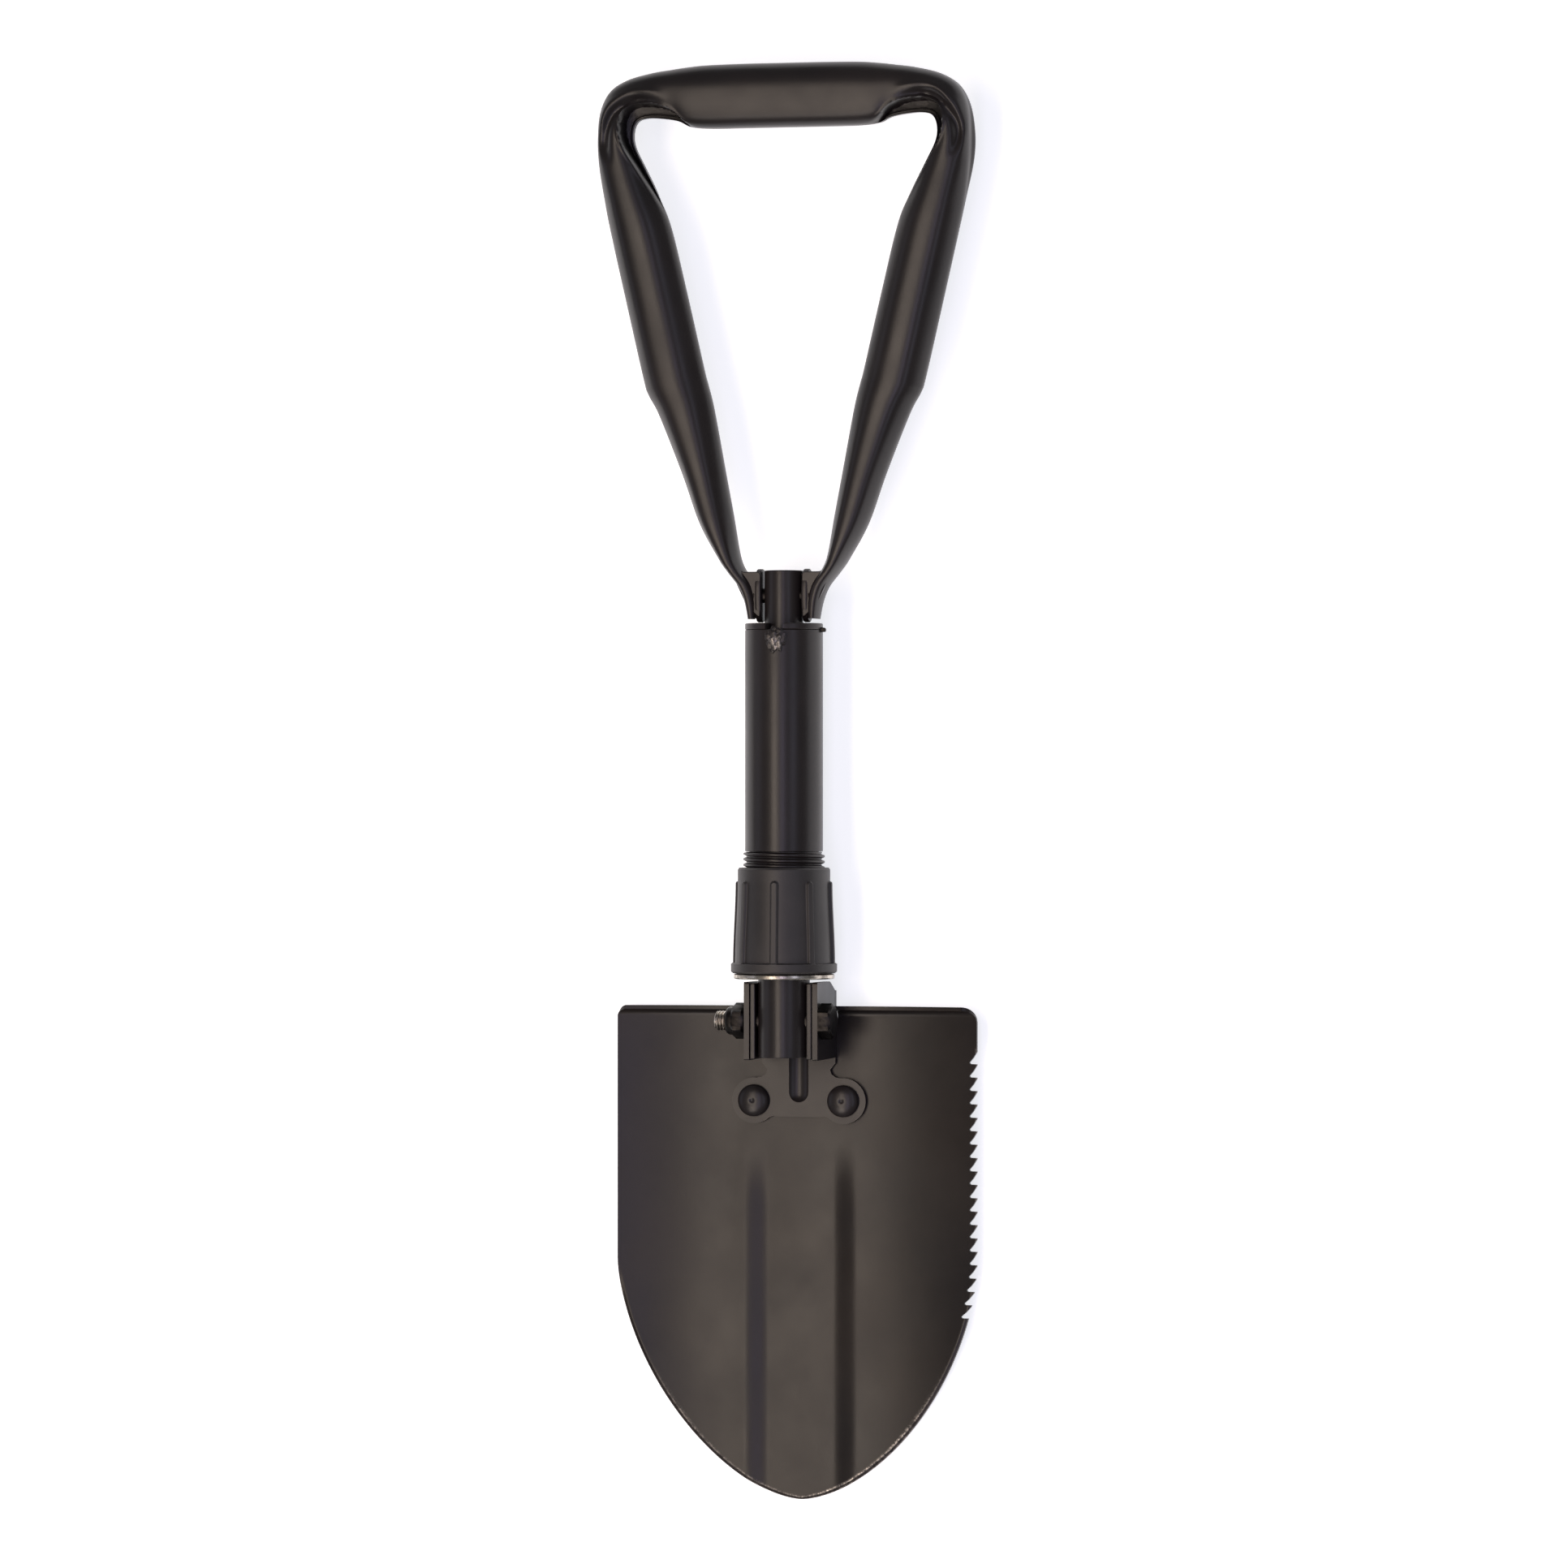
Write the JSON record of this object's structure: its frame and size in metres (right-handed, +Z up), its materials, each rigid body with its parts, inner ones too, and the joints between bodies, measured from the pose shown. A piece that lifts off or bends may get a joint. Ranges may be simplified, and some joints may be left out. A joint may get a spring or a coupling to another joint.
{
  "type": "folding camp shovel",
  "caption": "Folding camp shovel with a pointed saw-edged blade, a round shaft with a screw lock collar, and a triangular bent-channel handle.",
  "frame": {"origin": "on the floor that the shovel lies on, under the middle of its length and width, when it is opened out on its back", "axes": "+X across the shovel, +Y along it from the blade's tip to the grip, +Z up from the floor, out of the blade's hollow face"},
  "size_m": [0.1562, 0.5862, 0.0512],
  "materials": {
    "black_paint": "satin",
    "blade_paint": "satin",
    "collar_plastic": "matte",
    "bare_steel": "satin"
  },
  "bodies": {
    "shaft": {"main_tube": "black_paint", "end_ring": "black_paint", "stub_tube": "black_paint", "handle_pivot_rivet": "bare_steel", "threaded_plug": "black_paint", "weld_bead": "black_paint", "lower_shaft": "black_paint", "hinge_fork": "black_paint"},
    "washer": {"pressure_washer": "bare_steel"},
    "collar": {"lock_collar": "collar_plastic"},
    "blade": {"blade": "blade_paint", "hinge_bracket": "black_paint", "rivet_left": "black_paint", "rivet_right": "black_paint", "pivot_bolt": "bare_steel", "lock_nut": "black_paint"},
    "handle": {"handle_frame": "black_paint"}
  },
  "joints": [
    {"name": "handle_fold", "type": "hinge", "parent": "shaft", "child": "handle", "pos_m": [0, 0.0766, 0.0296], "axis": [1, 0, 0], "range_deg": [0, 180]},
    {"name": "blade_fold", "type": "hinge", "parent": "shaft", "child": "blade", "pos_m": [0, -0.0964, 0.0296], "axis": [-1, 0, 0], "range_deg": [0, 180]},
    {"name": "collar_lift", "type": "slide", "parent": "shaft", "child": "washer", "axis": [0, 1, 0], "range_m": [0, 0.00465]},
    {"name": "collar_turn", "type": "hinge", "parent": "washer", "child": "collar", "pos_m": [0, -0.055, 0.0296], "axis": [0, 1, 0], "range_deg": [0, 720]}
  ],
  "couplings": [
    {"joint": "collar_lift", "follows": "collar_turn", "m_per_rad": 0.00036606}
  ]
}
